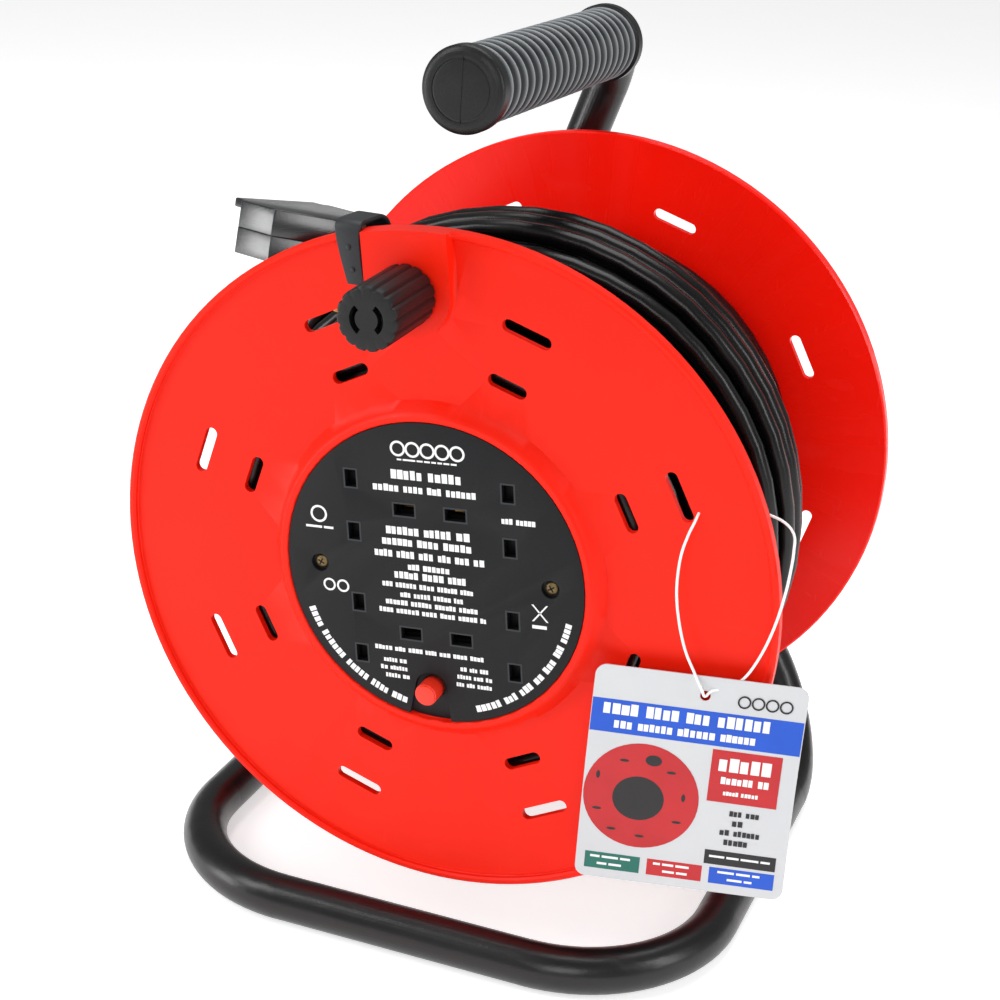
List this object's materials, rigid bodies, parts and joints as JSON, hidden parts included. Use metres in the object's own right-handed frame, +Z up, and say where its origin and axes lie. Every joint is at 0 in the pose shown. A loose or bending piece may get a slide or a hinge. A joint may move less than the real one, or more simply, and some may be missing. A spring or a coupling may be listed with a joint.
{
  "type": "extension cord reel",
  "caption": "Extension cord reel: open red drum with socket plate, reset button and crank knob, wound black cable with plug, on a bent tube stand with ribbed grip",
  "frame": {"origin": "on the floor under the middle of the object's bounding box", "axes": "+Z up and the longest side; +Y from the socket plate back to the stand's upright, along the drum's axis; +X to the right seen from the front"},
  "size_m": [0.276, 0.2636, 0.3681],
  "materials": {
    "frame": "satin",
    "grip": "matt",
    "zinc": "zinc plated",
    "nylon": "matt",
    "red_plastic": "satin gloss",
    "black_plastic": "matt",
    "brass": "plain",
    "red_button": "gloss",
    "strap": "matt",
    "cable": "gloss",
    "plug": "satin",
    "fuse": "plain",
    "card": "printed card"
  },
  "bodies": {
    "frame": {"frame_tube": "frame", "handle_grip": "grip", "grip_end_cap": "grip", "riser_end_plug": "grip", "axle_plate": "frame", "frame_bolts": "zinc", "frame_nuts": "zinc", "spindle": "zinc", "spindle_nut": "zinc", "thrust_washer": "nylon", "retaining_washer": "zinc", "spindle_screw": "zinc"},
    "drum": {"front_flange": "red_plastic", "rear_flange": "red_plastic", "hub_barrel": "red_plastic", "tie_screws": "zinc", "socket_plate": "black_plastic", "plate_screws": "brass", "socket_carrier": "black_plastic", "carrier_cover": "black_plastic", "live_busbar": "brass", "neutral_busbar": "brass", "earth_busbar": "brass", "thermal_cutout": "black_plastic", "cable_gland": "cable", "knob_pin": "zinc", "knob_nut": "zinc", "retaining_strap": "strap", "cable_winding": "cable", "cable_tail": "cable", "plug_base": "plug", "plug_cover": "plug", "plug_earth_pin": "brass", "plug_line_pins": "brass", "plug_fuse": "fuse", "plug_clamp": "plug", "plug_screws": "brass", "pin_card": "card"},
    "knob": {"crank_knob": "black_plastic"},
    "reset": {"reset_button": "red_button"},
    "gate_1": {"shutter_1": "black_plastic"},
    "gate_2": {"shutter_2": "black_plastic"},
    "gate_3": {"shutter_3": "black_plastic"},
    "gate_4": {"shutter_4": "black_plastic"}
  },
  "joints": [
    {"name": "drum_spin", "type": "hinge", "parent": "frame", "child": "drum", "pos_m": [0, 0.069, 0.1655], "axis": [0, -1, 0], "continuous": true},
    {"name": "knob_spin", "type": "hinge", "parent": "drum", "child": "knob", "pos_m": [-0.01291, -0.111, 0.27877], "axis": [0, -1, 0], "continuous": true},
    {"name": "reset_push", "type": "slide", "parent": "drum", "child": "reset", "axis": [0, 1, 0], "range_m": [0, 0.003], "stiffness_N_per_m": 300, "springref_m": -0.001},
    {"name": "gate_1_slide", "type": "slide", "parent": "drum", "child": "gate_1", "axis": [0.9962, 0, 0.0872], "range_m": [0, 0.006], "stiffness_N_per_m": 100, "springref_m": -0.001},
    {"name": "gate_2_slide", "type": "slide", "parent": "drum", "child": "gate_2", "axis": [-0.9962, 0, -0.0872], "range_m": [0, 0.006], "stiffness_N_per_m": 100, "springref_m": -0.001},
    {"name": "gate_3_slide", "type": "slide", "parent": "drum", "child": "gate_3", "axis": [0.9962, 0, 0.0872], "range_m": [0, 0.006], "stiffness_N_per_m": 100, "springref_m": -0.001},
    {"name": "gate_4_slide", "type": "slide", "parent": "drum", "child": "gate_4", "axis": [-0.9962, 0, -0.0872], "range_m": [0, 0.006], "stiffness_N_per_m": 100, "springref_m": -0.001}
  ]
}
